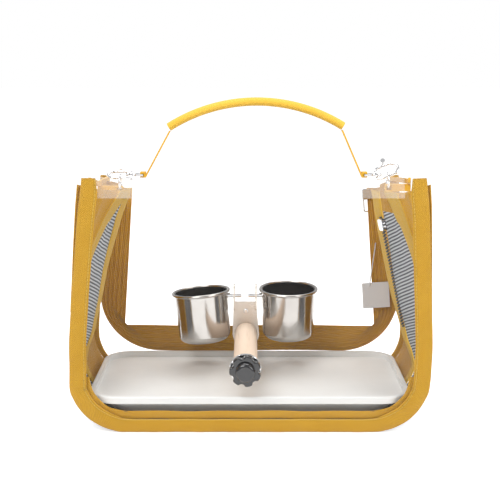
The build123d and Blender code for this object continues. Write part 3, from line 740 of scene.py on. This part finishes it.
def back_binding():
    line = []
    for i in range(30):
        z = 232 - (232 - 58) * i / 29
        line.append((-half_width(z), 0, z))
    for i in range(1, 13):
        x, z = outline(1 - i / 12)
        line.append((-x, 0, z))
    line += [(-60, 0, 0), (0, 0, 0)]
    line += [(-x, 0, z) for x, _, z in reversed(line[:-1])]
    line = even([Vector(p) for p in line], 200)
    path, across = [], []
    for i, p in enumerate(line):
        ahead = (line[min(i + 1, 199)] - line[max(i - 1, 0)]).normalized()
        inward = Vector((-ahead.z, 0, ahead.x))
        if inward.dot(Vector((0, 0, 110)) - p) < 0:
            inward = -inward
        path.append(tuple(p + inward * 3.0 + Vector((0, 86.0, 0))))
        across.append(tuple(inward))
    obj = band("back_binding", path, across, [3.0] * 200, [3.9] * 200, M["trim"], steps=3)
    return stands_for(obj, "yellow_cloth", "back_trim")


back_binding()


# ---------------------------------------------------------------- clear film

def pane(name, node, y, top, low, inset, mat, thick, wave, body="bag"):
    """A film pane with the bag's outline and a slow ripple."""
    rows = []
    for i in range(31):
        z = low + (top - low) * i / 30
        half = half_width(z) - inset
        if z < CORNER:
            half -= CORNER - math.sqrt(max(CORNER ** 2 - (CORNER - z) ** 2, 0))
        half = max(half, 100)
        row = []
        for j in range(41):
            x = -half + 2 * half * j / 40
            soft = math.sin(math.pi * j / 40) * math.sin(math.pi * i / 30)
            row.append((x, y + wave * soft * (math.sin(x * 0.021 + z * 0.013)
                                              + 0.6 * math.sin(x * 0.047 - z * 0.03)), z))
        rows.append(row)
    obj = sheet(name, rows, mat, thick, body)
    if node:
        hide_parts(node)
    return obj


def carry(node, mat):
    """Gives a CAD node its finish."""
    data = NODES[node].data
    data.materials.clear()
    data.materials.append(mat)


def window_film():
    """Front window, rippled, in the span of its node."""
    corners = [NODES["front_window"].matrix_world @ Vector(c) for c in NODES["front_window"].bound_box]
    ys, zs = [1000 * c.y for c in corners], [1000 * c.z for c in corners]
    high, low = max(zs), min(zs)
    inset = half_width(high) - 1000 * max(c.x for c in corners)
    pane("window_film", "front_window", (min(ys) + max(ys)) / 2, high, low, max(inset, 0.5),
         M["film"], 0, 0.5)


window_film()
carry("front_hem", M["hem"])
carry("back_film", M["film"])
carry("back_door", M["film"])


def cover():
    """Clear cover hanging between the front hem and the back film, with soft dips."""
    rows = []
    for i in range(33):
        y = -83.2 + (82.4 + 83.2) * i / 32
        row = []
        for j in range(25):
            x = -97 + 194 * j / 24
            if y < -30:
                z = 249 - 21 * ease((y + 83.2) / 60)
            elif y > 30:
                z = 228 + 3 * ease((y - 30) / 52)
            else:
                z = 228.0
            z += 0.8 * math.sin(x * 0.06 + y * 0.03) * math.sin(math.pi * i / 32)
            row.append((x, y, z))
        rows.append(row)
    obj = sheet("top_cover_film", rows, M["cover"], 0)
    return stands_for(obj, "clear_film", "top_cover")


cover()


# ---------------------------------------------------------------- rigid pieces kept from the frame

FINISH = {
    "cup": ("cup_left", "cup_right"),
    "chrome": ("cup_stud_left", "cup_stud_right", "hook_body_left", "hook_body_right",
               "hook_gate_left", "hook_gate_right", "ring_left", "ring_right", "swivel_eye_left",
               "swivel_eye_right", "back_zip_slider", "back_pull_ring", "side_zip_slider",
               "perch_washer", "perch_screw", "bracket_rivet"),
    "plate": ("cup_bracket",),
    "wood": ("perch",),
    "tray": ("tray",),
    "black": ("star_knob",),
    "zip": ("side_zip_teeth",),
    "label": ("care_label",),
    "nylon": ("label_string",),
    "strap": ("ring_tab_left", "ring_tab_right", "side_strap_left", "side_strap_right",
              "handle_strap_left", "handle_strap_right"),
    "grip": ("grip",),
}
for finish, group in FINISH.items():
    for node in group:
        carry(node, M[finish])


# ---------------------------------------------------------------- stage

def floor_plane():
    mesh = bpy.data.meshes.new("floor")
    mesh.from_pydata([(-6, -3, 0), (6, -3, 0), (6, 9, 0), (-6, 9, 0)], [], [(0, 1, 2, 3)])
    obj = bpy.data.objects.new("floor", mesh)
    obj.location.z = -0.0004
    scene.collection.objects.link(obj)
    g = Graph("floor_white")
    path = g.node("ShaderNodeLightPath").outputs
    seen = g.math("MAXIMUM", path["Is Camera Ray"], g.math("MAXIMUM", path["Is Glossy Ray"],
                                                          path["Is Transmission Ray"]))
    g.set(color=(0.86, 0.86, 0.86), rough=0.9, specular=0.0)
    g.bsdf.inputs["Emission Color"].default_value = (1, 1, 1, 1)
    g.feed(g.bsdf.inputs["Emission Strength"], g.math("MULTIPLY", seen, 0.6))
    mesh.materials.append(g.mat)


floor_plane()

world = bpy.data.worlds.new("world")
scene.world = world
world.use_nodes = True
tree = world.node_tree
back = tree.nodes["Background"]
path = tree.nodes.new("ShaderNodeLightPath")
top = tree.nodes.new("ShaderNodeMath")
top.operation = "MAXIMUM"
tree.links.new(path.outputs["Is Camera Ray"], top.inputs[0])
tree.links.new(path.outputs["Is Transmission Ray"], top.inputs[1])
level = tree.nodes.new("ShaderNodeMapRange")
tree.links.new(top.outputs[0], level.inputs["Value"])
level.inputs["To Min"].default_value = 0.62
level.inputs["To Max"].default_value = 1.0
tree.links.new(level.outputs[0], back.inputs["Strength"])
back.inputs["Color"].default_value = (1, 1, 1, 1)
